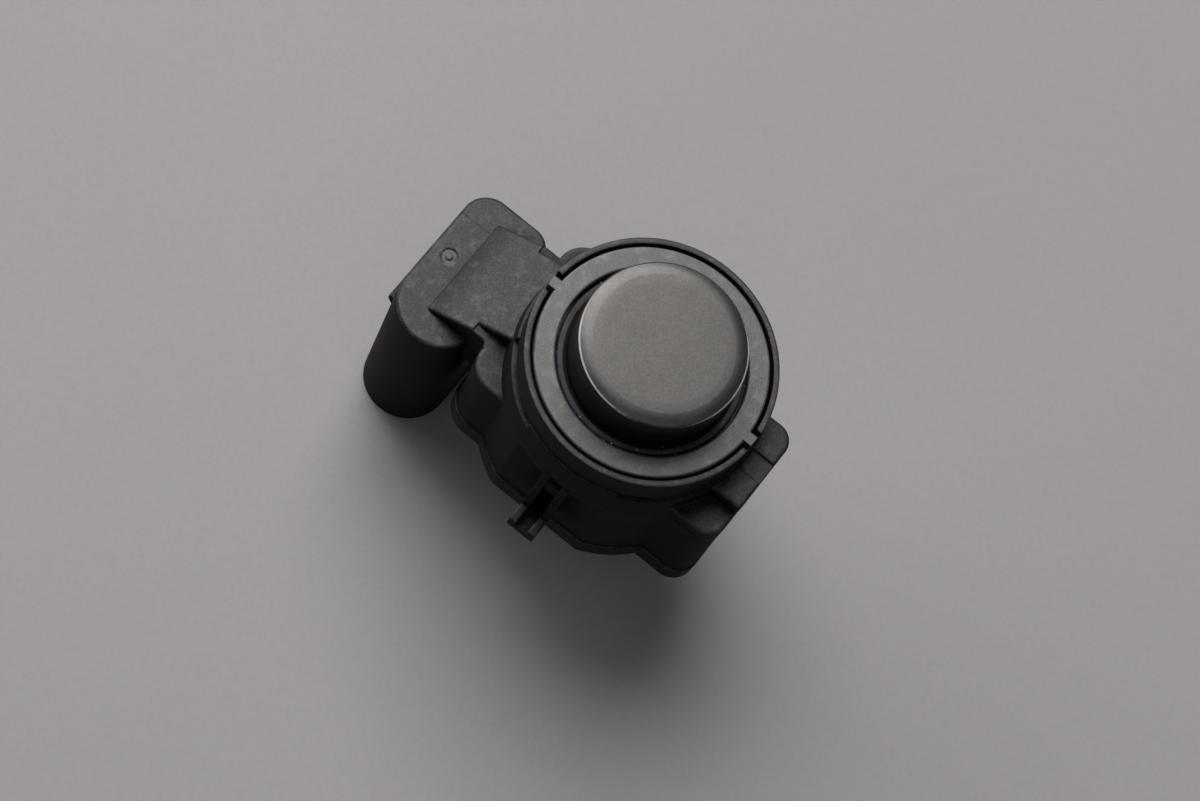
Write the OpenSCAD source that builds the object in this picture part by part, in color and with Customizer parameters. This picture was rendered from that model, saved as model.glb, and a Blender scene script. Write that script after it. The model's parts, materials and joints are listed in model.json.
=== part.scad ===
// Ultrasonic parking sensor for a bumper, in millimetres.
// The origin is on the membrane's axis, in the plane of the collar's front rim.
// +Z looks out through the membrane, -X points to the plug shroud and -Y is the near side.
// A depth or drop is measured backwards from the rim, along -Z.

/* [Membrane cup] */
// Diameter of the membrane
membrane_d = 15.5; // [14.8:0.1:16.2]
// Height of the membrane's face in front of the collar's rim
membrane_h = 5; // [3.5:0.1:6.5]
// Diameter of the membrane's flat middle
membrane_flat_d = 13; // [12:0.1:13.6]
// Radius of the soft shoulder round the flat middle
shoulder_r = 3; // [2:0.1:6]
// Rounding of the membrane's front edge
membrane_edge_r = 0.25; // [0.15:0.05:0.4]
// Thickness of the membrane
membrane_t = 0.9; // [0.6:0.1:1.4]
// Thickness of the cup's side wall
cup_wall = 1.1; // [0.8:0.1:1.4]
// Width of the flange round the cup's rear end
cup_flange_w = 1.4; // [0.8:0.1:1.8]
// Thickness of the cup's flange
cup_flange_t = 1.4; // [0.8:0.1:1.8]
// Diameter of the piezo disc
piezo_d = 7; // [5:0.1:9]
// Thickness of the piezo disc
piezo_t = 0.4; // [0.2:0.1:0.8]
// Diameter of the damping pad behind the disc
pad_d = 9; // [7.5:0.1:9.6]
// Thickness of the damping pad
pad_t = 2; // [1:0.1:3]
// Depth of the carrier's spigot in the cup
spigot_h = 1.5; // [1:0.1:2.5]
// Thickness of the carrier's disc
carrier_t = 1.2; // [0.9:0.1:1.5]

/* [Front rings] */
// Bore of the cover ring
ring_bore_d = 17.8; // [17.4:0.1:18.4]
// Thickness of the cover ring's plate
ring_t = 1.2; // [0.9:0.1:1.5]
// Rounding of the cover ring's front edges
ring_edge_r = 0.2; // [0.1:0.05:0.3]
// Thickness of the cover ring's skirt
skirt_t = 0.7; // [0.5:0.1:0.9]
// Gap between the cover ring and the collar
ring_gap = 0.3; // [0.15:0.05:0.4]
// Width of the two tabs on the cover ring
tab_w = 1.05; // [0.8:0.05:1.4]
// Gap on each side of a tab in its notch
tab_gap = 0.55; // [0.3:0.05:0.9]
// Thickness of the decoupling ring's flange
soft_t = 3.4; // [2.8:0.1:3.8]
// Depth of the decoupling ring's lip
lip_drop = 0.45; // [0.2:0.05:0.8]
// Gap between the decoupling ring's lip and the cover ring's bore
lip_gap = 0.15; // [0.1:0.05:0.3]
// Thickness of the soft washer behind the cup
washer_t = 1; // [0.6:0.1:1.3]

/* [Collar] */
// Outer diameter of the collar
collar_d = 23.5; // [23:0.1:24]
// Thickness of the collar's wall
collar_wall = 0.55; // [0.4:0.05:0.8]
// Length of the collar in front of its step
collar_h = 3.5; // [2.8:0.1:3.8]
// Depth of the pocket for the cover ring
pocket_depth = 5; // [4.8:0.1:5.6]
// Width of the step from the collar to the body
body_step = 0.25; // [0.15:0.05:0.3]
// Angle that each snap window spans
window_angle = 40; // [30:1:44]
// Height of the snap windows
window_h = 0.9; // [0.5:0.1:1.2]

/* [Case] */
// Depth of the case's rear face
case_depth = 20.5; // [19.5:0.1:23]
// Height of the rear cover
cover_h = 2.3; // [2:0.1:3]
// Thickness of the rear cover's floor
cover_t = 1.2; // [0.9:0.1:1.5]
// Overhang of the rear cover's edge beyond the case
cover_lip = 0.2; // [0.1:0.05:0.3]
// Radius of the round part of the case
case_r = 12.35; // [12.2:0.05:12.6]
// Width across the two flats of the round part
flat_w = 22.6; // [22:0.1:23.4]
// Depth of the flats' front edge
flat_drop = 7.2; // [6.8:0.1:7.6]
// Rounding of the housing's front edges
edge_r = 0.35; // [0.2:0.05:0.5]
// Wall of the case
case_wall = 1.3; // [1:0.1:1.5]
// Reach of the block on the connector's side, from the axis
left_x = 13; // [12.6:0.1:13.6]
// Width of the block on the connector's side
left_w = 18.4; // [17.4:0.1:19]
// Corner radius of that block
left_r = 2.8; // [1.8:0.1:3.4]
// Depth of that block's near shoulder
left_drop = 7.7; // [7.4:0.1:8.4]
// Depth of that block's far shoulder
left_far_drop = 9.5; // [9:0.1:9.9]
// Reach of the block on the ear's side, from the axis
right_x = 14.5; // [14:0.1:16]
// Reach of that block to the near side
right_near = 7.9; // [7.4:0.1:8.5]
// Corner radius of that block
right_r = 2; // [1.6:0.1:3]
// Depth of that block's ledge
right_drop = 5.8; // [5.4:0.1:7]
// Height of the ear above the ledge
ear_h = 1.8; // [1:0.1:2]
// Width of the ear
ear_w = 9.1; // [8:0.1:10]
// Place of the ear's middle along Y
ear_y = 0.15; // [-0.2:0.05:0.4]
// Radius of the ear's outer corner
ear_r = 1.8; // [1:0.1:2]

/* [Connector] */
// Distance from the axis to the middle of the shroud
shroud_x = 18.65; // [18.5:0.05:20]
// Thickness of the shroud, along X
shroud_t = 8.6; // [8:0.1:8.8]
// Width of the shroud, along Y
shroud_w = 16.1; // [15:0.1:18]
// Place of the shroud's middle along Y
shroud_y = -0.6; // [-1:0.1:0]
// Depth of the shroud's top plate
shroud_drop = 10.6; // [10.2:0.1:10.8]
// Length of the shroud
shroud_h = 21.8; // [20:0.1:24]
// Wall of the shroud
shroud_wall = 1.3; // [1:0.1:1.4]
// Thickness of the shroud's roof
roof_t = 3.9; // [3.2:0.1:5]
// Corner radius at the shroud's square end, outer side
shroud_r = 2.6; // [2:0.1:3.4]
// Corner radius at the shroud's square end, case side
shroud_inner_r = 2; // [1.4:0.1:2.6]
// Width of the sloped arm on the shroud
arm_w = 11; // [10:0.1:11.8]
// Width of the sloped arm next to the body
arm_neck_w = 9.3; // [8:0.1:9.8]
// Narrowing of the arm's far side towards the body
arm_taper = 0.6; // [0.1:0.1:1]
// Place of the arm's middle along Y
arm_y = -0.15; // [-0.5:0.05:0.2]
// Rounding of the inner corner between the arm and the case
neck_r = 0.6; // [0.3:0.1:0.9]
// Slope of the arm, in degrees
arm_angle = 31.8; // [28:0.1:33]
// Distance from the axis to the arm's foot
arm_foot_x = 19.4; // [19:0.1:20]
// Distance from the axis to the place where the arm narrows
arm_neck_x = 14.75; // [14.5:0.05:15.2]
// Place of the neck's far side along Y
neck_far_y = 6.1; // [5.8:0.1:6.5]
// Spacing of the blades
blade_pitch = 3.5; // [2.8:0.1:3.7]
// Width of a blade
blade_w = 1.5; // [1:0.1:1.8]
// Thickness of a blade
blade_t = 0.63; // [0.5:0.01:0.7]
// Length of a blade behind the shroud's roof
blade_l = 11.5; // [8:0.1:12]
// Height of the latch nub on the shroud
nub_h = 1.2; // [0.8:0.1:1.6]
// Width of the latch nub
nub_w = 4; // [3:0.1:5]
// Distance from the shroud's mouth to the latch nub's edge
nub_mouth = 10.1; // [6:0.1:12]

/* [Slotted lug] */
// Width of the lug
lug_w = 2.9; // [2.6:0.1:3.4]
// Reach of the lug beyond the case's flat
lug_l = 4; // [3.6:0.1:5]
// Place of the lug's middle along X
lug_x = 0; // [-1:0.1:1]
// Depth of the lug's front edge
lug_drop = 13.9; // [13.2:0.1:14.4]
// Height of the lug's arm
lug_h = 1.8; // [1.6:0.1:2.4]
// Thickness of the lug's floor
lug_floor = 0.7; // [0.5:0.05:0.9]
// Thickness of the lug's side walls
lug_wall = 0.75; // [0.5:0.05:0.9]
// Reach of the gusset at the lug's root
gusset_l = 2.2; // [1.8:0.1:2.6]

/* [Board] */
// Thickness of the circuit board
board_t = 1.2; // [0.8:0.1:1.6]
// Gap round the edge of the board
board_gap = 0.25; // [0.15:0.05:0.4]
// Clear height in front of the board
board_front = 2; // [1.8:0.1:2.4]
// Diameter of the posts that hold the board
post_d = 2; // [1.6:0.1:2.4]
// Side of the contact pins
pin_w = 0.6; // [0.5:0.05:0.7]
// Diameter of the transducer's leads
lead_d = 0.4; // [0.3:0.05:0.5]
// Length of the control chip's body
chip_l = 6.2; // [5:0.1:6.6]
// Width of the control chip's body
chip_w = 4; // [3:0.1:4.4]
// Height of the control chip's body
chip_h = 1.5; // [1:0.1:2]
// Side of the transformer's plates
transformer_side = 6; // [5:0.1:6.2]
// Diameter of the transformer's drum
drum_d = 5.2; // [4:0.1:5.6]
// Length of the supply capacitor
capacitor_l = 5; // [4:0.1:5.4]
// Width of the supply capacitor
capacitor_w = 3.5; // [2.5:0.1:3.8]
// Height of the supply capacitor
capacitor_h = 2.6; // [2:0.1:2.8]
// Width of the protection diode
diode_w = 2.6; // [2:0.1:2.8]
// Length of the protection diode
diode_l = 4.4; // [3.6:0.1:4.6]
// Height of the protection diode
diode_h = 2.2; // [1.6:0.1:2.4]
// Length of a filter capacitor
filter_l = 3.2; // [2:0.1:3.4]
// Width of a filter capacitor
filter_w = 1.6; // [1:0.1:1.8]
// Height of a filter capacitor
filter_h = 1.2; // [0.8:0.1:1.4]
// Length of a resistor
resistor_l = 2; // [1.6:0.1:2.2]
// Width of a resistor
resistor_w = 1.25; // [0.8:0.05:1.4]
// Height of a resistor
resistor_h = 0.5; // [0.4:0.1:0.8]

/* [Hidden] */
$fn = 96;

// Clearances
cut = 0.5;
fit_gap = 0.1;
slide_gap = 0.15;
min_r = 0.3;
block_r = edge_r + 0.05;

// Radii of the pieces on the axis, from the membrane outwards
cup_r = membrane_d / 2;
cup_in_r = cup_r - cup_wall;
cup_flange_r = cup_r + cup_flange_w;
ring_bore_r = ring_bore_d / 2;
lip_r = ring_bore_r - lip_gap;
collar_r = collar_d / 2;
pocket_r = collar_r - collar_wall;
ring_r = pocket_r - ring_gap;
bore_r = ring_r - skirt_t;
body_r = collar_r + body_step;

// Heights of the pieces on the axis, from the membrane backwards
piezo_z = membrane_h - membrane_t - piezo_t;
pad_z = piezo_z - pad_t;
flange_z = -ring_t - soft_t;
cup_z = flange_z - cup_flange_t;
spigot_z = cup_z + spigot_h;
washer_z = cup_z - washer_t;
carrier_z = washer_z - carrier_t;

// Heights in the case
cavity_z = -left_far_drop - case_wall;
board_z = cavity_z - board_front - board_t;
cover_floor_z = -case_depth + cover_t;
seam_z = -case_depth + cover_h;

// Flats, shroud and arm
flat_y = flat_w / 2;
right_far = ear_y + ear_w / 2;
shroud_x0 = -shroud_x - shroud_t / 2;
shroud_x1 = -shroud_x + shroud_t / 2;
shroud_y0 = shroud_y - shroud_w / 2;
shroud_y1 = shroud_y + shroud_w / 2;
roof_z = -shroud_drop - roof_t;
mouth_z = -shroud_drop - shroud_h;
arm_lift = 0.2;
arm_near_y = arm_y - arm_w / 2;
lug_slot_z = -flat_drop + 0.4;
lug_slot_h = 1.3;

// Strips of the connector's blades, from the shroud to the board
strip_drop = 0.6;
strip_inset = 2.2;
strip_z = cavity_z - strip_drop;
strip_tail_x = -left_x + case_wall + strip_inset;
tail_w = 0.8;
tail_stub = 0.7;
blade_tip = 0.8;

// Places on the board
signal_x = 2.2;
ground_inset = 1.4;
ground_x = -(cup_in_r - ground_inset);
post_inset = 2.4;
post_side = 1.8;
post_far_inset = 6.6;
post_far_gap = 0.8;
post_left_x = -left_x + case_wall + post_inset;
post_left_y = left_w / 2 - case_wall - post_side;
post_right_x = right_x - case_wall - post_inset;
post_right_y = -right_near + case_wall + post_side;
post_far_x = right_x - post_far_inset;
post_far_y = right_far + post_far_gap;
middle_x = -case_r / 8;
chip_y = -flat_w / 5;
capacitor_y = 0.22 * flat_w;
transformer_x = case_r / 2;
diode_gap = 2.8;
diode_inset = 4.3;
diode_x = strip_tail_x + diode_gap;
diode_y = -left_w / 2 + diode_inset;
filter_inset = 6.5;
filter_x = right_x - filter_inset;
row_gap = 1;

// Colours
black_plastic = [0.10, 0.10, 0.10];
ring_plastic = [0.13, 0.13, 0.13];
cover_plastic = [0.10, 0.09, 0.13];
painted_metal = [0.20, 0.20, 0.20];
silicone = [0.12, 0.13, 0.15];
ceramic = [0.75, 0.72, 0.62];
felt = [0.55, 0.55, 0.52];
filling = [0.85, 0.82, 0.75];
tin = [0.75, 0.75, 0.76];
copper = [0.72, 0.43, 0.25];
board_green = [0.08, 0.32, 0.18];
chip_black = [0.07, 0.07, 0.08];
ferrite = [0.22, 0.21, 0.21];
tantalum = [0.75, 0.55, 0.18];
chip_brown = [0.50, 0.38, 0.26];

// Height of the arm's sloped top at x
function arm_z(x) = -shroud_drop + arm_lift + (x + arm_foot_x) * tan(arm_angle);

// Rectangle with its own radius at each corner: r = [near left, near right, far right, far left]
module corner_rect(x0, x1, y0, y1, r) {
    polygon([[x0 + r[0], y0], [x1 - r[1], y0], [x1, y0 + r[1]], [x1, y1 - r[2]],
        [x1 - r[2], y1], [x0 + r[3], y1], [x0, y1 - r[3]], [x0, y0 + r[0]]]);
    translate([x0 + r[0], y0 + r[0]]) circle(r[0]);
    translate([x1 - r[1], y0 + r[1]]) circle(r[1]);
    translate([x1 - r[2], y1 - r[2]]) circle(r[2]);
    translate([x0 + r[3], y1 - r[3]]) circle(r[3]);
}

// Outline of a wall of thickness w and height h, with its outer top edge rounded
module edge_profile(w, h) {
    if (w > edge_r) square([w - edge_r, h]);
    translate([w - edge_r, 0]) square([edge_r, h - edge_r]);
    translate([w - edge_r, h - edge_r]) intersection() {
        circle(edge_r);
        square(edge_r);
    }
}

// Upright block with its own radius at each corner, as in corner_rect, and a rounded top edge
module rounded_block(x0, x1, y0, y1, r, z0, z1) {
    h = z1 - z0;
    e = edge_r;
    centres = [[x0 + r[0], y0 + r[0]], [x1 - r[1], y0 + r[1]],
        [x1 - r[2], y1 - r[2]], [x0 + r[3], y1 - r[3]]];
    translate([0, 0, z0]) {
        linear_extrude(h)
            polygon([[x0 + r[0], y0 + e], [x1 - r[1], y0 + e], [x1 - e, y0 + r[1]], [x1 - e, y1 - r[2]],
                [x1 - r[2], y1 - e], [x0 + r[3], y1 - e], [x0 + e, y1 - r[3]], [x0 + e, y0 + r[0]]]);
        for (i = [0 : 3]) {
            next = (i + 1) % 4;
            side = centres[next] - centres[i];
            length = abs(i % 2 == 0 ? side.x : side.y);
            translate(centres[i]) rotate(180 + 90 * i)
                rotate_extrude(angle = 90) edge_profile(r[i], h);
            translate(centres[next]) rotate([90, 0, 270 + 90 * i]) translate([r[next] - e, 0, 0])
                linear_extrude(length) edge_profile(e, h);
        }
    }
}

// An outline in X and Z, drawn out along Y
module slab_y(y0, y1) {
    translate([0, y1, 0]) rotate([90, 0, 0]) linear_extrude(y1 - y0) children();
}

// An outline in Y and Z, drawn out along X
module slab_x(x0, x1) {
    translate([x0, 0, 0]) rotate([90, 0, 90]) linear_extrude(x1 - x0) children();
}

// A box from its lowest to its highest corner
module box(low, high) {
    translate(low) cube(high - low);
}

// A tube on the axis, over a part of the turn if angle is given
module tube(r0, r1, z0, z1, angle = 360) {
    rotate_extrude(angle = angle) translate([r0, z0]) square([r1 - r0, z1 - z0]);
}

// The four snap windows lie between the tabs and the flats
module at_windows(angle) {
    for (turn = [45, 135, 225, 315]) rotate(turn - angle / 2) children();
}

// The round part of the case with its two flats
module core_shape(inset) {
    intersection() {
        circle(case_r - inset);
        square([2 * (case_r - inset), flat_w - 2 * inset], center = true);
    }
}

// The block on the connector's side
module left_shape(inset) {
    r = max(left_r - inset, min_r);
    side = left_w / 2 - inset;
    corner_rect(-left_x + inset, 0, -side, side, [r, min_r, min_r, r]);
}

// The block on the ear's side
module right_shape(inset) {
    r = max(right_r - inset, min_r);
    corner_rect(0, right_x - inset, -right_near + inset, right_far - inset, [min_r, r, r, min_r]);
}

// Outline of the whole case
module case_shape(inset) {
    core_shape(inset);
    left_shape(inset);
    right_shape(inset);
}

// Corner radii of the shroud: round at the near end, square at the far end
function shroud_radii(inset) = let (round_r = shroud_t / 2 - inset - 0.05)
    [round_r, round_r, max(shroud_inner_r - inset, min_r), max(shroud_r - inset, min_r)];

// Extrudes an outline between two heights
module rise(z0, z1) {
    translate([0, 0, z0]) linear_extrude(z1 - z0) children();
}

// Collar, body and case blocks, still solid
module case_solid() {
    rise(-collar_h, 0) circle(collar_r);
    translate([0, 0, -flat_drop]) cylinder(h = flat_drop - collar_h, r1 = case_r, r2 = body_r);
    rise(seam_z, -flat_drop) core_shape(0);
    rounded_block(0, right_x, -right_near, right_far, [block_r, right_r, right_r, block_r],
        seam_z, -right_drop);
    rounded_block(-left_x, 0, -left_w / 2, left_w / 2, [left_r, block_r, block_r, left_r],
        seam_z, -left_far_drop);
    rounded_block(-left_x, 0, -left_w / 2, 0, [left_r, block_r, block_r, block_r], seam_z, -left_drop);
}

// The plug shroud, still solid
module shroud_solid() {
    rounded_block(shroud_x0, shroud_x1, shroud_y0, shroud_y1, shroud_radii(0), mouth_z, -shroud_drop);
}

// The room in the shroud for the plug
module shroud_room() {
    wall = shroud_wall;
    rise(mouth_z - cut, roof_z)
        corner_rect(shroud_x0 + wall, shroud_x1 - wall, shroud_y0 + wall, shroud_y1 - wall,
            shroud_radii(wall));
}

// The ear that the bracket's clip holds, with a shallow band across its top
module ear() {
    band_t = 0.2;
    band_y0 = -1.3;
    band_y1 = 1.1;
    inner_x = pocket_r - cut;
    top_z = -right_drop + ear_h;
    difference() {
        rounded_block(inner_x, right_x, ear_y - ear_w / 2, right_far, [block_r, block_r, ear_r, block_r],
            -right_drop - ear_h, top_z);
        box([body_r, band_y0, top_z - band_t], [right_x + cut, band_y1, top_z + cut]);
    }
}

// Bar from x0 to x1 and up from z0, with its top in the arm's slope and its long edges rounded
module sloped_bar(x0, x1, y0, y1, z0) {
    depth = arm_z(x1) - z0;
    reach = (x1 + arm_foot_x) / cos(arm_angle);
    intersection() {
        translate([-arm_foot_x, (y0 + y1) / 2, arm_z(-arm_foot_x)]) rotate([0, -arm_angle, 0])
            slab_x(-depth, reach + depth) translate([0, -depth]) {
                edge_profile((y1 - y0) / 2, depth);
                mirror([1, 0]) edge_profile((y1 - y0) / 2, depth);
            }
        box([x0, y0 - cut, z0], [x1, y1 + cut, arm_z(x1) + cut]);
    }
}

// The arm's sloped top from the shroud's plate up to the body, and the neck under it
module arm() {
    inner_x = -pocket_r + cut;
    neck_near = arm_y - arm_neck_w / 2;
    neck_far = arm_y + arm_neck_w / 2;
    sloped_bar(-arm_foot_x, -arm_neck_x, arm_near_y, arm_near_y + arm_w, -shroud_drop - cut);
    intersection() {
        sloped_bar(-arm_neck_x, inner_x, neck_near, neck_far + 2 * edge_r, roof_z);
        rise(roof_z, arm_z(inner_x) + cut)
            polygon([[-arm_neck_x - cut, neck_near - cut], [inner_x + cut, neck_near - cut],
                [inner_x + cut, neck_far - arm_taper], [-arm_neck_x - cut, neck_far]]);
    }
    box([-arm_neck_x, arm_near_y, roof_z], [-left_x + left_r, 0, -left_drop]);
    box([-arm_neck_x, 0, roof_z], [-left_x + left_r, neck_far_y, -left_far_drop]);
    rise(roof_z, -left_drop) translate([-left_x - neck_r, arm_near_y - neck_r]) difference() {
        square(neck_r + cut);
        circle(neck_r);
    }
}

// Latch nub on the shroud's outer wall, with its ramp towards the mouth
module latch_nub() {
    top_z = mouth_z + nub_mouth;
    land = 0.6;
    ramp = 2.6;
    slab_y(shroud_y - nub_w / 2, shroud_y + nub_w / 2)
        polygon([[shroud_x0 + shroud_wall / 2, top_z], [shroud_x0 - nub_h, top_z],
            [shroud_x0 - nub_h, top_z - land], [shroud_x0, top_z - ramp],
            [shroud_x0 + shroud_wall / 2, top_z - ramp]]);
}

// Slotted lug on the near flat: a trough open at its end, between two gussets, with a bar across its root
module lug() {
    base_z = -lug_drop - lug_h;
    end_y = -flat_y - lug_l;
    overhang = case_r - flat_y;
    slot_x = lug_w / 2 - lug_wall;
    floor_z = base_z + lug_floor;
    bar_y = -flat_y - overhang - fit_gap;
    bar_t = 2;
    translate([lug_x, 0, 0]) difference() {
        slab_x(-lug_w / 2, lug_w / 2)
            polygon([[-flat_y + case_wall / 2, base_z], [end_y, base_z], [end_y, -lug_drop],
                [-flat_y - gusset_l, -lug_drop], [-flat_y - overhang, lug_slot_z],
                [-flat_y + case_wall / 2, lug_slot_z]]);
        box([-slot_x, end_y - cut, floor_z], [slot_x, bar_y, lug_slot_z]);
        box([-slot_x, -flat_y - gusset_l, floor_z], [slot_x, -flat_y, lug_slot_z - lug_slot_h - bar_t]);
    }
}

// Slot through the edge of the body, above the bar at the lug's root
module lug_slot() {
    depth = 1;
    slot_w = lug_w - 2 * lug_wall;
    box([lug_x - slot_w / 2, -case_r - cut, lug_slot_z - lug_slot_h],
        [lug_x + slot_w / 2, -case_r + depth, lug_slot_z]);
}

// Round mark that the moulding gate leaves on the shroud's plate
module gate_mark() {
    mark_r = 0.8;
    mark_t = 0.12;
    nib_r = 0.35;
    mark_x = shroud_x0 + 1.9;
    mark_y = shroud_y + 0.4;
    translate([mark_x, mark_y, -shroud_drop - mark_t])
        tube(nib_r, mark_r, 0, mark_t + cut);
}

// Strip of one blade as it lies in the shroud, the roof and the case
module blade_strip(index) {
    y = shroud_y + (index - 2) * blade_pitch;
    x0 = -shroud_x - blade_t / 2;
    x1 = -shroud_x + blade_t / 2;
    tip_z = roof_z - blade_l;
    slab_y(y - blade_w / 2, y + blade_w / 2)
        polygon([[x0 + blade_t / 3, tip_z], [x1 - blade_t / 3, tip_z], [x1, tip_z + blade_tip],
            [x1, strip_z - blade_t], [strip_tail_x, strip_z - blade_t], [strip_tail_x, strip_z],
            [x0, strip_z], [x0, tip_z + blade_tip]]);
}

// Solder tail of one blade
module blade_tail(index, gap) {
    y = shroud_y + (index - 2) * blade_pitch;
    box([strip_tail_x - blade_t - gap, y - tail_w / 2 - gap, board_z - tail_stub],
        [strip_tail_x + gap, y + tail_w / 2 + gap, strip_z - blade_t / 2]);
}

// Contact pin at x, from the carrier's spigot through the board
module contact_pin(x, gap) {
    half = pin_w / 2 + gap;
    box([x - half, -half, board_z - tail_stub], [x + half, half, spigot_z]);
}

// Posts that hold the board, between two heights
module posts(z0, z1) {
    for (side = [-1, 1]) {
        translate([post_left_x, side * post_left_y, z0]) cylinder(h = z1 - z0, d = post_d);
    }
    translate([post_right_x, post_right_y, z0]) cylinder(h = z1 - z0, d = post_d);
    translate([post_far_x, post_far_y, z0]) cylinder(h = z1 - z0, d = post_d);
}

// Groove in the near wall, under the edge of the ear-side ledge
module ledge_groove() {
    groove = 0.4;
    top_z = -right_drop - 1.1;
    box([body_r - 2, -right_near - cut, top_z - groove],
        [right_x - right_r + cut, -right_near + groove, top_z]);
}

// Everything that is hollowed out of the housing
module housing_hollows() {
    notch_w = tab_w + 2 * tab_gap;
    rise(-pocket_depth, cut) circle(pocket_r);
    rise(carrier_z, 0) circle(bore_r);
    rise(seam_z - cut, cavity_z) case_shape(case_wall);
    shroud_room();
    at_windows(window_angle)
        tube(pocket_r - cut, case_r + cut, -collar_h - window_h, -collar_h, window_angle);
    for (side = [-1, 1]) {
        x = side * (pocket_r + collar_r) / 2;
        box([x - collar_wall, -notch_w / 2, -ring_t - slide_gap], [x + collar_wall, notch_w / 2, cut]);
    }
    for (index = [1, 2, 3]) blade_strip(index);
    for (x = [signal_x, ground_x]) contact_pin(x, slide_gap);
    ledge_groove();
    lug_slot();
    gate_mark();
}

module housing() {
    color(black_plastic) {
        difference() {
            union() {
                case_solid();
                ear();
                arm();
                shroud_solid();
                latch_nub();
                lug();
            }
            housing_hollows();
        }
        posts(board_z + board_t, cavity_z + cut);
    }
}

module rear_cover() {
    rib_t = 0.8;
    rib_h = 1;
    rib_inset = case_wall + slide_gap;
    color(cover_plastic) {
        difference() {
            union() {
                rise(-case_depth, seam_z) case_shape(-cover_lip);
                rise(seam_z - cut, seam_z + rib_h) case_shape(rib_inset);
            }
            rise(cover_floor_z, seam_z + rib_h + cut) case_shape(rib_inset + rib_t);
        }
        posts(cover_floor_z - cut, board_z);
    }
}

module cover_ring() {
    snap_r = pocket_r + ring_gap / 2;
    snap_angle = window_angle - 4;
    color(ring_plastic) {
        rotate_extrude() {
            polygon([[ring_bore_r, -ring_t], [bore_r, -ring_t], [bore_r, -pocket_depth],
                [ring_r, -pocket_depth], [ring_r, -ring_edge_r], [ring_r - ring_edge_r, 0],
                [ring_bore_r + ring_edge_r, 0], [ring_bore_r, -ring_edge_r]]);
            for (r = [ring_r - ring_edge_r, ring_bore_r + ring_edge_r])
                translate([r, -ring_edge_r]) circle(ring_edge_r);
        }
        at_windows(snap_angle)
            tube(ring_r - skirt_t / 2, snap_r, -collar_h - window_h + fit_gap, -collar_h - fit_gap,
                snap_angle);
        for (side = [0, 180]) rotate(side)
            box([ring_r - skirt_t / 2, -tab_w / 2, -ring_t], [collar_r - fit_gap, tab_w / 2, 0]);
    }
}

module decoupling_ring() {
    bead = 0.3;
    groove = 0.5;
    color(silicone) rotate_extrude()
        polygon([[cup_r, flange_z], [bore_r - fit_gap, flange_z], [bore_r - fit_gap, -ring_t],
            [lip_r, -ring_t], [lip_r, -lip_drop - bead], [lip_r - bead, -lip_drop],
            [cup_r + bead, -lip_drop - groove / 2], [cup_r, -lip_drop - groove]]);
}

// Cup whose flat middle turns into the side wall over a soft shoulder and a small edge radius
module membrane_cup() {
    flat_r = membrane_flat_d / 2;
    shoulder_z = membrane_h - shoulder_r;
    edge_x = cup_r - membrane_edge_r;
    span_r = shoulder_r - membrane_edge_r;
    edge_z = shoulder_z + sqrt(span_r ^ 2 - (edge_x - flat_r) ^ 2);
    meet_w = (edge_x - flat_r) * shoulder_r / span_r;
    color(painted_metal) rotate_extrude() difference() {
        union() {
            translate([0, cup_z]) square([flat_r, membrane_h - cup_z]);
            translate([0, cup_z]) square([cup_r, edge_z - cup_z]);
            translate([flat_r, shoulder_z]) intersection() {
                circle(shoulder_r);
                square([meet_w, shoulder_r + cut]);
            }
            translate([edge_x, edge_z]) circle(membrane_edge_r);
            translate([0, cup_z]) square([cup_flange_r, cup_flange_t]);
        }
        translate([0, cup_z - cut]) square([cup_in_r, membrane_h - membrane_t - cup_z + cut]);
    }
}

module rear_decoupling_ring() {
    color(silicone) tube(cup_in_r + fit_gap, cup_flange_r, washer_z, cup_z);
}

module piezo_disc() {
    color(ceramic) rise(piezo_z, piezo_z + piezo_t) circle(d = piezo_d);
}

module damping_pad() {
    color(felt) rise(pad_z, piezo_z) difference() {
        circle(d = pad_d);
        translate([signal_x, 0]) circle(d = lead_d);
    }
}

module cup_filler() {
    color(filling) rise(spigot_z, pad_z) difference() {
        circle(cup_in_r);
        for (x = [signal_x, ground_x]) translate([x, 0]) circle(d = lead_d);
    }
}

module transducer_carrier() {
    color(ring_plastic) difference() {
        union() {
            rise(carrier_z, washer_z) circle(bore_r - fit_gap);
            rise(carrier_z, spigot_z) circle(cup_in_r - fit_gap);
        }
        for (x = [signal_x, ground_x]) contact_pin(x, 0);
    }
}

module piezo_lead() {
    color(copper) rise(spigot_z, piezo_z) translate([signal_x, 0]) circle(d = lead_d);
}

module ground_lead() {
    color(copper) rise(spigot_z, membrane_h - membrane_t) translate([ground_x, 0]) circle(d = lead_d);
}

module signal_pin() {
    color(tin) contact_pin(signal_x, 0);
}

module ground_pin() {
    color(tin) contact_pin(ground_x, 0);
}

module circuit_board() {
    color(board_green) difference() {
        rise(board_z, board_z + board_t) case_shape(case_wall + board_gap);
        for (x = [signal_x, ground_x]) contact_pin(x, fit_gap);
        for (index = [1, 2, 3]) blade_tail(index, fit_gap);
    }
}

// Block round the Z axis between two heights
module block(length, width, z0, z1) {
    box([-length / 2, -width / 2, z0], [length / 2, width / 2, z1]);
}

// Chip with two rows of legs, behind the board
module control_chip() {
    row_w = 1.5 * chip_w;
    leg_w = 0.4;
    leg_t = 0.2;
    legs = 5;
    stand = 0.15;
    pitch = chip_l / legs;
    color(chip_black) translate([middle_x, chip_y, 0]) {
        block(chip_l, chip_w, board_z - stand - chip_h, board_z - stand);
        for (i = [0 : legs - 1]) {
            x = (i - (legs - 1) / 2) * pitch;
            box([x - leg_w / 2, -row_w / 2, board_z - leg_t], [x + leg_w / 2, row_w / 2, board_z]);
        }
    }
}

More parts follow.
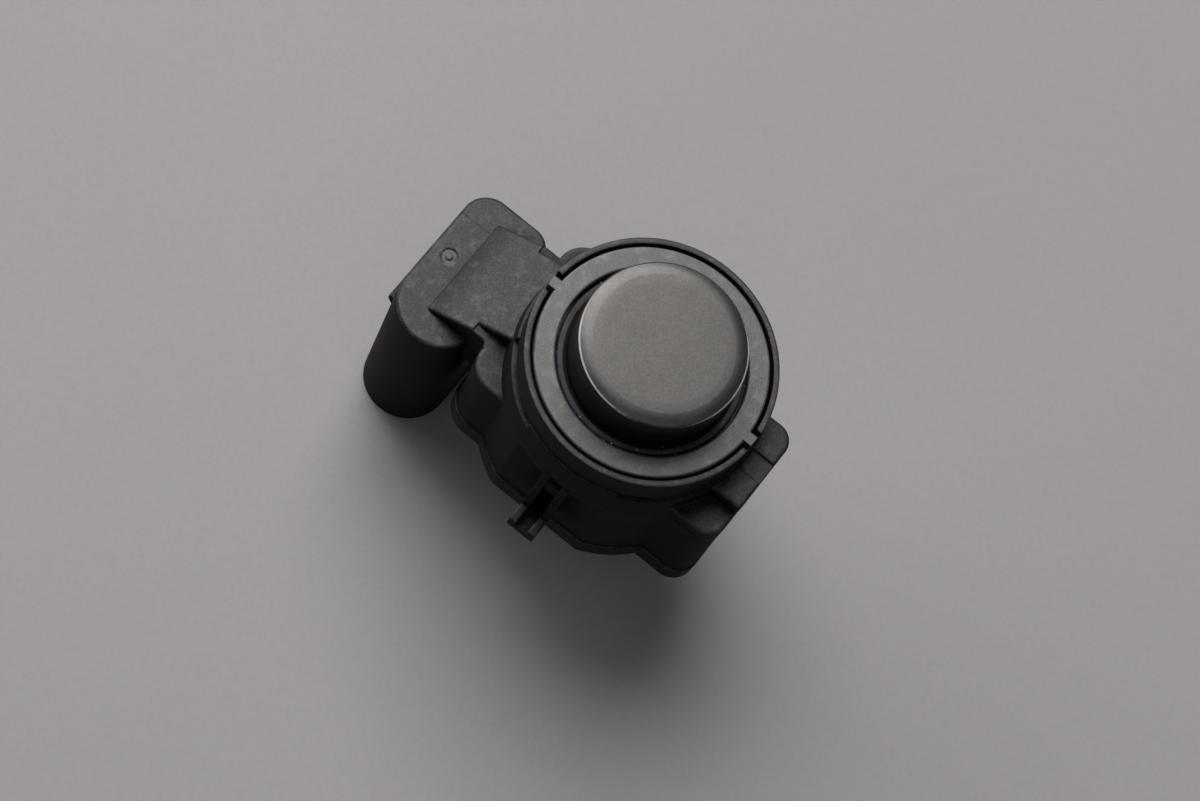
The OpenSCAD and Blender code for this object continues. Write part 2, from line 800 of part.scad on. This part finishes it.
// Drum core between two square plates, behind the board
module transformer() {
    half = transformer_side / 2;
    plate_t = 0.8;
    clear = 0.6;
    low_z = cover_floor_z + clear;
    color(ferrite) translate([transformer_x, 0, 0]) {
        for (z = [low_z, board_z - plate_t])
            rise(z, z + plate_t) corner_rect(-half, half, -half, half, [1, 1, 1, 1] * min_r);
        rise(low_z, board_z) circle(d = drum_d);
    }
}

module supply_capacitor() {
    color(tantalum) translate([middle_x, capacitor_y, 0])
        block(capacitor_l, capacitor_w, board_z - capacitor_h, board_z);
}

module protection_diode() {
    color(chip_black) translate([diode_x, diode_y, 0]) block(diode_w, diode_l, board_z - diode_h, board_z);
}

// Small blocks that stand on the front of the board, in a row along Y
module board_row(x, count, length, width, height) {
    pitch = width + row_gap;
    for (i = [0 : count - 1]) {
        y = (i - (count - 1) / 2) * pitch;
        translate([x, y, board_z + board_t]) block(length, width, 0, height);
    }
}

module filter_capacitors() {
    color(chip_brown) board_row(filter_x, 3, filter_l, filter_w, filter_h);
}

module resistors() {
    color(chip_black) board_row(middle_x, 4, resistor_l, resistor_w, resistor_h);
}

module connector_pin(index) {
    color(tin) {
        blade_strip(index);
        blade_tail(index, 0);
    }
}

module connector_pin_1() {
    connector_pin(1);
}

module connector_pin_2() {
    connector_pin(2);
}

module connector_pin_3() {
    connector_pin(3);
}

housing();
rear_cover();
cover_ring();
decoupling_ring();
membrane_cup();
rear_decoupling_ring();
piezo_disc();
damping_pad();
cup_filler();
transducer_carrier();
piezo_lead();
ground_lead();
signal_pin();
ground_pin();
circuit_board();
control_chip();
transformer();
supply_capacitor();
filter_capacitors();
resistors();
protection_diode();
connector_pin_1();
connector_pin_2();
connector_pin_3();
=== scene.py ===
"""Looks of the parking sensor: procedural materials, floor, light and camera round the solids."""
import json

import bpy
from mathutils import Matrix, Vector


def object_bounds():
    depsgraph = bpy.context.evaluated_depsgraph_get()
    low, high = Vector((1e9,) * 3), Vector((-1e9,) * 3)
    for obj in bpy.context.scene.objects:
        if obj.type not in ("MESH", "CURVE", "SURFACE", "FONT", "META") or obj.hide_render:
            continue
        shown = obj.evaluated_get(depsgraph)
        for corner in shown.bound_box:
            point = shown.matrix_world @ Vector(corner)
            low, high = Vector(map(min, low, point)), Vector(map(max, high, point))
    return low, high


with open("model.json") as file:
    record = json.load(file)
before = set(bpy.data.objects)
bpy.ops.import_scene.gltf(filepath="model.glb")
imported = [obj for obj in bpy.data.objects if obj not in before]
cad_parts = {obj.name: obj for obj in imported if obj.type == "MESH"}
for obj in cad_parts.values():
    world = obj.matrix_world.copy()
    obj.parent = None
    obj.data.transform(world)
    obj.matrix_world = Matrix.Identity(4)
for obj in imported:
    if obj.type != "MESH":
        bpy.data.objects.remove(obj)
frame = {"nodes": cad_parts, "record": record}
cad_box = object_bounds()

# Lengths in the materials are in mm, and their coordinates are the part's own
MM = 1000.0
AXIS_X = (1.0, 0.0, 0.0)
AXIS_Y = (0.0, 1.0, 0.0)
FRONT = (0.0, 0.0, 1.0)
RAY_SAMPLES = 6
# The colour sockets of a mix node
MIX_A, MIX_B, MIX_RESULT = 6, 7, 2

# Marks on the housing: torn gate, painted shade at the foot of the slope, and mould line across
# the plate.
# Each pair runs from where the mark starts to where it is full.
GATE_PLACE = (-21.05, -0.2)
GATE_R = (0.95, 0.6)
FOOT_X = (-16.6, -19.4)
SEAM_Y = 4.05
SEAM_HALF_WIDTH = (0.1, 0.04)
SEAM_END_X = (-19.3, -19.5)
# Reach of the painted shade in corners
CORNER_SHADE_REACH = 8.0

# By distance from the axis: the membrane's soft shoulder, and both ends of the silicone's lip
CROWN_R = (5.6, 7.2)
CROWN_DEPTH = 0.03
LIP_OUTER_R = (8.64, 8.54)
LIP_INNER_R = (8.06, 8.2)
FLAKES_PER_MM = 7.0
# The membrane's rim gets a painted highlight at two sides, and none where it faces the far side
RIM_SIDE = (0.797, 0.604, 0.0)
RIM_FAR = (-0.604, 0.797, 0.0)

DUST = (0.5, 0.5, 0.48)
LINT = (0.7, 0.7, 0.68)
LINT_HAZE = (0.16, 0.16, 0.165)
TORN_PLASTIC = (0.11, 0.104, 0.094)
# Colour of the painted highlight on the membrane's rim
RIM_HIGHLIGHT = (0.55, 0.54, 0.525)
PLASTIC_TINT = (1.0, 0.965, 0.95, 1.0)
PAINT_TINT = (1.0, 0.965, 0.93, 1.0)
FLOOR_DARK = (0.345, 0.328, 0.33)
FLOOR_LIGHT = (0.362, 0.345, 0.347)
FLOOR_TOOTH = (0.3, 0.285, 0.287)

# The stage, in metres
FLOOR_HALF = 2.0
FLOOR_GAP = 0.00005
WORLD_COLOR = (0.95, 0.97, 1.0, 1.0)
WORLD_STRENGTH = 0.05


class Graph:
    """A material's node tree, with short calls to add nodes and links."""

    def __init__(self, name):
        self.mat = bpy.data.materials.new(name)
        self.mat.use_nodes = True
        self.tree = self.mat.node_tree
        self.bsdf = self.tree.nodes["Principled BSDF"]
        coords = self.add("ShaderNodeTexCoord")
        scale = self.add("ShaderNodeMapping")
        scale.inputs["Scale"].default_value = (MM, MM, MM)
        self.link(coords.outputs["Object"], scale.inputs["Vector"])
        self.mm = scale.outputs["Vector"]

    def add(self, kind, **settings):
        node = self.tree.nodes.new(kind)
        for key, value in settings.items():
            setattr(node, key, value)
        return node

    def link(self, source, target):
        self.tree.links.new(source, target)

    def feed(self, value, socket):
        """Links a socket, or sets a plain number or colour."""
        if isinstance(value, bpy.types.NodeSocket):
            self.link(value, socket)
        else:
            socket.default_value = value

    def noise(self, per_mm, detail=3.0, rough=0.55, stretch=None):
        """Noise with about the given number of lumps per mm."""
        node = self.add("ShaderNodeTexNoise")
        vector = self.mm
        if stretch:
            turn = self.add("ShaderNodeMapping")
            turn.inputs["Scale"].default_value = stretch
            self.link(self.mm, turn.inputs["Vector"])
            vector = turn.outputs["Vector"]
        self.link(vector, node.inputs["Vector"])
        node.inputs["Scale"].default_value = per_mm
        node.inputs["Detail"].default_value = detail
        node.inputs["Roughness"].default_value = rough
        return node.outputs["Fac"]

    def ramp(self, value, low, high, out_low=0.0, out_high=1.0, kind="LINEAR"):
        """Maps low..high to out_low..out_high, clamped."""
        node = self.add("ShaderNodeMapRange", interpolation_type=kind)
        node.inputs["From Min"].default_value = low
        node.inputs["From Max"].default_value = high
        node.inputs["To Min"].default_value = out_low
        node.inputs["To Max"].default_value = out_high
        self.link(value, node.inputs["Value"])
        return node.outputs["Result"]

    def between(self, mask, at_0, at_1):
        """Goes from one value to the other as a mask goes from 0 to 1."""
        return self.ramp(mask, 0.0, 1.0, at_0, at_1)

    def math(self, operation, a, b=0.0):
        node = self.add("ShaderNodeMath", operation=operation)
        self.feed(a, node.inputs[0])
        self.feed(b, node.inputs[1])
        return node.outputs[0]

    def plus(self, total, *terms):
        for term in terms:
            total = self.math("ADD", total, term)
        return total

    def times(self, product, *factors):
        for factor in factors:
            product = self.math("MULTIPLY", product, factor)
        return product

    def mix(self, factor, a, b):
        """Colour a where the factor is 0, and b where it is 1."""
        node = self.add("ShaderNodeMix", data_type="RGBA")
        self.feed(factor, node.inputs["Factor"])
        for value, socket in ((a, node.inputs[MIX_A]), (b, node.inputs[MIX_B])):
            self.feed((*value, 1.0) if isinstance(value, tuple) else value, socket)
        return node.outputs[MIX_RESULT]

    def cells(self, per_mm):
        """Distance from the nearest cell's middle, and a number from 0 to 1 of the cell's own."""
        node = self.add("ShaderNodeTexVoronoi")
        self.link(self.mm, node.inputs["Vector"])
        node.inputs["Scale"].default_value = per_mm
        parts = self.add("ShaderNodeSeparateColor")
        self.link(node.outputs["Color"], parts.inputs["Color"])
        return node.outputs["Distance"], parts.outputs["Red"]

    def specks(self, cell, radius, share):
        """Small round dots: one in a cell of the given size, and in a share of the cells."""
        distance, number = self.cells(1.0 / cell)
        dot = self.ramp(distance, radius / cell, 0.5 * radius / cell)
        return self.times(dot, self.math("LESS_THAN", number, share))

    def edges(self, radius_mm):
        """Rounded normals at sharp edges, and a mask that is 1 along the edges."""
        bevel = self.add("ShaderNodeBevel", samples=RAY_SAMPLES)
        bevel.inputs["Radius"].default_value = radius_mm / MM
        geometry = self.add("ShaderNodeNewGeometry")
        dot = self.add("ShaderNodeVectorMath", operation="DOT_PRODUCT")
        self.link(bevel.outputs["Normal"], dot.inputs[0])
        self.link(geometry.outputs["Normal"], dot.inputs[1])
        return bevel.outputs["Normal"], self.ramp(dot.outputs["Value"], 0.995, 0.85)

    def radius(self, x, y):
        """Distance in mm from an upright line at x, y."""
        flat = self.add("ShaderNodeVectorMath", operation="MULTIPLY_ADD")
        flat.inputs[1].default_value = (1.0, 1.0, 0.0)
        flat.inputs[2].default_value = (-x, -y, 0.0)
        self.link(self.mm, flat.inputs[0])
        length = self.add("ShaderNodeVectorMath", operation="LENGTH")
        self.link(flat.outputs["Vector"], length.inputs[0])
        return length.outputs["Value"]

    def along(self, direction):
        """Place in mm along a direction."""
        dot = self.add("ShaderNodeVectorMath", operation="DOT_PRODUCT")
        self.link(self.mm, dot.inputs[0])
        dot.inputs[1].default_value = direction
        return dot.outputs["Value"]

    def facing(self, direction):
        """How far a face looks in a direction: 1 straight, 0 on faces that stand across it."""
        geometry = self.add("ShaderNodeNewGeometry")
        dot = self.add("ShaderNodeVectorMath", operation="DOT_PRODUCT")
        self.link(geometry.outputs["Normal"], dot.inputs[0])
        dot.inputs[1].default_value = direction
        return dot.outputs["Value"]

    def corners(self, reach_mm):
        """1 in the open, less where the piece itself closes in within the reach."""
        node = self.add("ShaderNodeAmbientOcclusion", samples=RAY_SAMPLES, only_local=True)
        node.inputs["Distance"].default_value = reach_mm / MM
        return node.outputs["AO"]

    def bump(self, height, strength, depth_mm, normal=None):
        node = self.add("ShaderNodeBump")
        node.inputs["Strength"].default_value = strength
        node.inputs["Distance"].default_value = depth_mm / MM
        self.link(height, node.inputs["Height"])
        if normal is not None:
            self.link(normal, node.inputs["Normal"])
        return node.outputs["Normal"]

    def finish(self, color, rough, normal, metallic=0.0, **sockets):
        """Fills the shader's sockets. Further ones are named with _ for a space."""
        self.feed(color, self.bsdf.inputs["Base Color"])
        self.feed(rough, self.bsdf.inputs["Roughness"])
        self.link(normal, self.bsdf.inputs["Normal"])
        self.feed(metallic, self.bsdf.inputs["Metallic"])
        for key, value in sockets.items():
            self.feed(value, self.bsdf.inputs[key.replace("_", " ")])
        return self.mat


def lighter(color, step):
    return tuple(c + step for c in color)


def scaled(color, factor):
    return tuple(factor * c for c in color)


def moulded_plastic(name, dark, light, rough, grain_mm, edge_mm, dust, marked=False):
    """Spark-eroded moulding: fine grain, rubbed front faces, polished edges and a little dust,
    and painted shade that darkens the walls and the corners.

    A marked one also has the torn gate, painted shade at the slope's foot and the mould's faint
    line."""
    g = Graph(name)
    normal, edge = g.edges(edge_mm)
    front = g.facing(FRONT)
    handled_and_wall_shade = g.ramp(front, 0.2, 0.75)
    ao_for_corner_shade = g.corners(CORNER_SHADE_REACH)
    patches = g.ramp(g.noise(0.22, detail=4.0), 0.35, 0.7)
    rubbed = g.times(g.ramp(g.noise(0.9, detail=6.0, rough=0.7), 0.5, 0.7), handled_and_wall_shade)
    grain = g.noise(1.0 / grain_mm, rough=0.6)
    pits = g.ramp(grain, 0.32, 0.68)
    dots = g.specks(cell=2.6, radius=0.09, share=dust)

    color = g.mix(patches, dark, light)
    color = g.mix(g.times(rubbed, 0.6), color, lighter(light, 0.028))
    color = g.mix(g.times(edge, 0.4), color, lighter(light, 0.01))
    color = g.mix(g.ramp(grain, 0.56, 0.7, 0.0, 0.8), color, lighter(light, 0.019))
    # Painted shade: faces that stand across the front get a darker colour
    color = g.mix(g.between(handled_and_wall_shade, 0.55, 0.0), color, scaled(dark, 0.4))
    # Painted shade: corners and recesses, where the piece closes in, get a darker colour
    color = g.mix(g.ramp(ao_for_corner_shade, 0.8, 0.2, 0.0, 0.7), color, scaled(dark, 0.2))
    color = g.mix(g.times(dots, 0.8), color, DUST)
    roughness = g.plus(g.between(pits, rough - 0.1, rough + 0.1), g.between(edge, 0.0, -0.12),
                       g.between(handled_and_wall_shade, 0.25, 0.0))
    shine = g.plus(g.between(pits, 0.42, 1.05), g.between(rubbed, -0.04, 0.36))
    # Less shine on the walls and in the corners is painted shade too
    shine = g.times(shine, g.between(handled_and_wall_shade, 0.27, 1.0), g.ramp(ao_for_corner_shade, 0.3, 0.95, 0.2, 1.0))

    if marked:
        ragged = g.ramp(g.noise(2.2, detail=4.0), 0.3, 0.7, -0.45, 0.45)
        torn = g.ramp(g.plus(g.radius(*GATE_PLACE), ragged), *GATE_R)
        color = g.mix(g.times(torn, handled_and_wall_shade, 0.8), color, TORN_PLASTIC)
        # Painted shade: less shine near the foot of the slope, where the concave foot lies in
        # shade
        sloped = g.times(g.ramp(front, 0.995, 0.98), g.ramp(front, 0.7, 0.8))
        foot = g.times(g.ramp(g.along(AXIS_X), *FOOT_X, kind="SMOOTHSTEP"), sloped)
        off_seam = g.math("ABSOLUTE", g.math("SUBTRACT", g.along(AXIS_Y), SEAM_Y))
        seam = g.times(g.ramp(off_seam, *SEAM_HALF_WIDTH), g.ramp(g.along(AXIS_X), *SEAM_END_X))
        shine = g.times(shine, g.between(foot, 1.0, 0.58), g.between(seam, 1.0, 0.6))
    return g.finish(color, roughness, g.bump(grain, strength=0.7, depth_mm=0.04, normal=normal),
                    Specular_IOR_Level=shine, Specular_Tint=PLASTIC_TINT)


def satin_paint(name, dark, light, rough, shine):
    """Satin paint on the pressed cup: fine flakes, orange peel, a little dust and a painted
    highlight on the rim.

    Painted shade darkens its wall, told by the slope, and its soft shoulder is told by the
    distance from the axis."""
    g = Graph(name)
    _, flake = g.cells(FLAKES_PER_MM)
    cloud = g.ramp(g.noise(0.3), 0.35, 0.65)
    dots = g.specks(cell=4.0, radius=0.06, share=0.12)
    slope = g.facing(FRONT)
    wall = g.ramp(slope, 0.75, 0.4)
    rim = g.times(g.ramp(slope, 0.94, 0.88), g.ramp(slope, 0.3, 0.45))
    painted_rim_highlight = g.times(rim, g.ramp(g.math("ABSOLUTE", g.facing(RIM_SIDE)), 0.2, 0.5),
                   g.ramp(g.facing(RIM_FAR), 0.35, 0.1))

    color = g.mix(flake, dark, light)
    color = g.mix(g.times(dots, 0.7), color, DUST)
    # Painted shade: the wall gets a darker colour, and below less gloss
    color = g.mix(wall, color, scaled(dark, 0.35))
    # Painted highlight: a light line on the rim at two sides
    color = g.mix(g.times(painted_rim_highlight, 0.9), color, RIM_HIGHLIGHT)
    roughness = g.plus(g.between(cloud, rough - 0.03, rough + 0.03), g.times(rim, -0.14))
    gloss = g.times(g.between(flake, shine - 0.09, shine + 0.09), g.between(wall, 1.0, 0.35))
    shoulder = g.ramp(g.radius(0.0, 0.0), *CROWN_R, 1.0, 0.0, "SMOOTHSTEP")
    crown = g.bump(shoulder, strength=1.0, depth_mm=CROWN_DEPTH)
    peel = g.plus(g.noise(2.4, detail=2.0), g.times(g.noise(8.0, detail=2.0), 0.6))
    return g.finish(color, roughness, g.bump(peel, strength=0.12, depth_mm=0.03, normal=crown),
                    Specular_IOR_Level=gloss, Specular_Tint=PAINT_TINT)


def soft_silicone(name, dark, light, rough):
    """Smooth dark silicone that holds dust, with painted shade in dark bands on both sides of a
    lighter lip.
    """
    g = Graph(name)
    r = g.radius(0.0, 0.0)
    lip = g.times(g.ramp(r, *LIP_OUTER_R), g.ramp(r, *LIP_INNER_R))
    cloud = g.ramp(g.noise(0.6, detail=4.0), 0.35, 0.7)
    lint = g.times(g.specks(cell=0.75, radius=0.12, share=0.5), 0.95)
    haze = g.ramp(g.noise(3.5, detail=6.0, rough=0.7), 0.6, 0.8, 0.0, 0.35)
    color = g.mix(cloud, dark, light)
    color = g.mix(haze, color, LINT_HAZE)
    # Painted shade: outside the lip the colour darkens, and below the shine drops, for grooves in
    # shadow
    color = g.mix(g.between(lip, 0.85, 0.0), color, scaled(dark, 0.1))
    color = g.mix(lint, color, LINT)
    roughness = g.plus(g.between(cloud, rough, rough + 0.1), g.times(lint, 0.4))
    return g.finish(color, roughness, g.bump(g.noise(1.6), strength=0.25, depth_mm=0.03),
                    Specular_IOR_Level=g.between(lip, 0.25, 1.0))


def plated_metal(name, dark, light, rough):
    """Stamped and plated metal with fine drawing lines along its length."""
    g = Graph(name)
    normal, edge = g.edges(0.08)
    lines = g.noise(2.0, rough=0.6, stretch=(6.0, 6.0, 0.25))
    color = g.mix(g.ramp(lines, 0.3, 0.7), dark, light)
    color = g.mix(g.times(edge, 0.4), color, scaled(light, 1.15))
    return g.finish(color, g.ramp(lines, 0.3, 0.7, rough, rough + 0.12),
                    g.bump(lines, strength=0.15, depth_mm=0.01, normal=normal), metallic=1.0)


def matt_block(name, dark, light, rough, per_mm):
    """Pressed, fired or moulded inner piece with a visible grain."""
    g = Graph(name)
    mottle = g.ramp(g.noise(per_mm, detail=5.0, rough=0.65), 0.3, 0.7)
    color = g.mix(mottle, dark, light)
    return g.finish(color, g.between(mottle, rough - 0.06, rough + 0.06),
                    g.bump(g.noise(3.0 * per_mm), strength=0.25, depth_mm=0.03))


def circuit_laminate(name):
    """Green solder mask over copper tracks."""
    g = Graph(name)
    tracks = g.add("ShaderNodeTexBrick", offset=0.5)
    g.link(g.mm, tracks.inputs["Vector"])
    tracks.inputs["Scale"].default_value = 0.8
    tracks.inputs["Mortar Size"].default_value = 0.05
    tracks.inputs["Color1"].default_value = (0.012, 0.09, 0.035, 1.0)
    tracks.inputs["Color2"].default_value = (0.015, 0.10, 0.04, 1.0)
    tracks.inputs["Mortar"].default_value = (0.03, 0.19, 0.075, 1.0)
    weave = g.ramp(g.noise(4.0), 0.3, 0.7, 0.0, 0.25)
    color = g.mix(weave, tracks.outputs["Color"], (0.02, 0.13, 0.05))
    return g.finish(color, g.ramp(weave, 0.0, 0.25, 0.28, 0.4),
                    g.bump(tracks.outputs["Fac"], strength=0.3, depth_mm=0.03))


# Each has its dark and light tone, then its function's own values
MATERIALS = {
    "housing_plastic": moulded_plastic(
        "housing_plastic", (0.008, 0.0077, 0.0075), (0.012, 0.0116, 0.0113),
        rough=0.55, grain_mm=0.18, edge_mm=0.3, dust=0.25, marked=True),
    "cover_plastic": moulded_plastic(
        "cover_plastic", (0.004, 0.0037, 0.0105), (0.006, 0.0056, 0.0155),
        rough=0.42, grain_mm=0.22, edge_mm=0.2, dust=0.15),
    "ring_plastic": moulded_plastic(
        "ring_plastic", (0.074, 0.0721, 0.0717), (0.089, 0.087, 0.0866),
        rough=0.37, grain_mm=0.13, edge_mm=0.12, dust=0.3),
    "membrane_paint": satin_paint(
        "membrane_paint", (0.017, 0.016, 0.0152), (0.024, 0.0226, 0.0214), rough=0.36, shine=0.9),
    "silicone": soft_silicone(
        "silicone", (0.085, 0.0865, 0.092), (0.13, 0.132, 0.14), rough=0.24),
    "piezo_ceramic": matt_block(
        "piezo_ceramic", (0.5, 0.47, 0.38), (0.66, 0.62, 0.52), rough=0.4, per_mm=2.0),
    "felt": matt_block(
        "felt", (0.33, 0.33, 0.31), (0.5, 0.5, 0.47), rough=0.95, per_mm=3.0),
    "filling": matt_block(
        "filling", (0.66, 0.63, 0.57), (0.8, 0.77, 0.71), rough=0.6, per_mm=1.2),
    "copper_wire": plated_metal(
        "copper_wire", (0.6, 0.3, 0.17), (0.78, 0.45, 0.28), rough=0.3),
    "tinned_metal": plated_metal(
        "tinned_metal", (0.6, 0.6, 0.61), (0.76, 0.76, 0.77), rough=0.28),
    "board_laminate": circuit_laminate("board_laminate"),
    "chip_body": matt_block(
        "chip_body", (0.018, 0.018, 0.02), (0.034, 0.034, 0.036), rough=0.6, per_mm=4.0),
    "ferrite": matt_block(
        "ferrite", (0.07, 0.066, 0.066), (0.13, 0.125, 0.125), rough=0.7, per_mm=3.0),
    "capacitor_case": matt_block(
        "capacitor_case", (0.6, 0.38, 0.07), (0.74, 0.49, 0.12), rough=0.35, per_mm=1.5),
    "capacitor_ceramic": matt_block(
        "capacitor_ceramic", (0.34, 0.23, 0.13), (0.46, 0.33, 0.2), rough=0.5, per_mm=3.0),
}

for part in frame["record"]["subparts"]:
    for place in frame["nodes"][part["node"]].material_slots:
        place.material = MATERIALS[part["material_slot"]]


def floor_material():
    """Plain pale grey board with a faint tooth."""
    g = Graph("floor_board")
    tooth = g.noise(2.2, detail=4.0, rough=0.6)
    drift = g.ramp(g.noise(0.012, detail=2.0), 0.3, 0.7)
    color = g.mix(drift, FLOOR_DARK, FLOOR_LIGHT)
    color = g.mix(g.ramp(tooth, 0.45, 0.75, 0.0, 0.35), color, FLOOR_TOOTH)
    return g.finish(color, 0.75, g.bump(tooth, strength=0.12, depth_mm=0.05))


def make_floor(z):
    corners = [(-FLOOR_HALF, -FLOOR_HALF, z), (FLOOR_HALF, -FLOOR_HALF, z),
               (FLOOR_HALF, FLOOR_HALF, z), (-FLOOR_HALF, FLOOR_HALF, z)]
    mesh = bpy.data.meshes.new("floor")
    mesh.from_pydata(corners, [], [(0, 1, 2, 3)])
    floor = bpy.data.objects.new("floor", mesh)
    bpy.context.collection.objects.link(floor)
    floor.data.materials.append(floor_material())


def area_light(name, place, size, power, color=(1.0, 1.0, 1.0)):
    """A round soft lamp that looks at the origin."""
    lamp = bpy.data.lights.new(name, "AREA")
    lamp.shape = "DISK"
    lamp.size = size
    lamp.energy = power
    lamp.color = color
    light = bpy.data.objects.new(name, lamp)
    light.location = place
    light.rotation_mode = "QUATERNION"
    light.rotation_quaternion = (-Vector(place)).to_track_quat("-Z", "Y")
    bpy.context.collection.objects.link(light)


def make_camera():
    """The photograph's camera, fitted to the ring and the membrane."""
    place = (0.007548, -0.113645, 0.277539)
    right = Vector((0.78038, 0.591163, 0.203799))
    up = Vector((-0.624583, 0.721259, 0.299468))
    back = Vector((0.030043, -0.360988, 0.932086))
    data = bpy.data.cameras.new("camera")
    data.sensor_width = 36.0
    data.lens = 100.42
    data.clip_start = 0.01
    camera = bpy.data.objects.new("camera", data)
    turn = Matrix((right, up, back)).transposed().to_4x4()
    camera.matrix_world = Matrix.Translation(place) @ turn
    bpy.context.collection.objects.link(camera)
    bpy.context.scene.camera = camera


def make_world():
    world = bpy.data.worlds.new("studio")
    world.use_nodes = True
    background = world.node_tree.nodes["Background"]
    background.inputs["Color"].default_value = WORLD_COLOR
    background.inputs["Strength"].default_value = WORLD_STRENGTH
    bpy.context.scene.world = world


make_floor(cad_box[0].z - FLOOR_GAP)
area_light("key", place=(-0.41, 0.43, 0.80), size=0.85, power=10.4, color=(1.0, 0.985, 0.98))
area_light("side", place=(-0.9, 0.12, 0.36), size=0.8, power=3.6)
area_light("fill", place=(0.35, -0.55, 0.9), size=1.2, power=1.2)
make_world()
make_camera()
bpy.context.scene.view_settings.view_transform = "Standard"
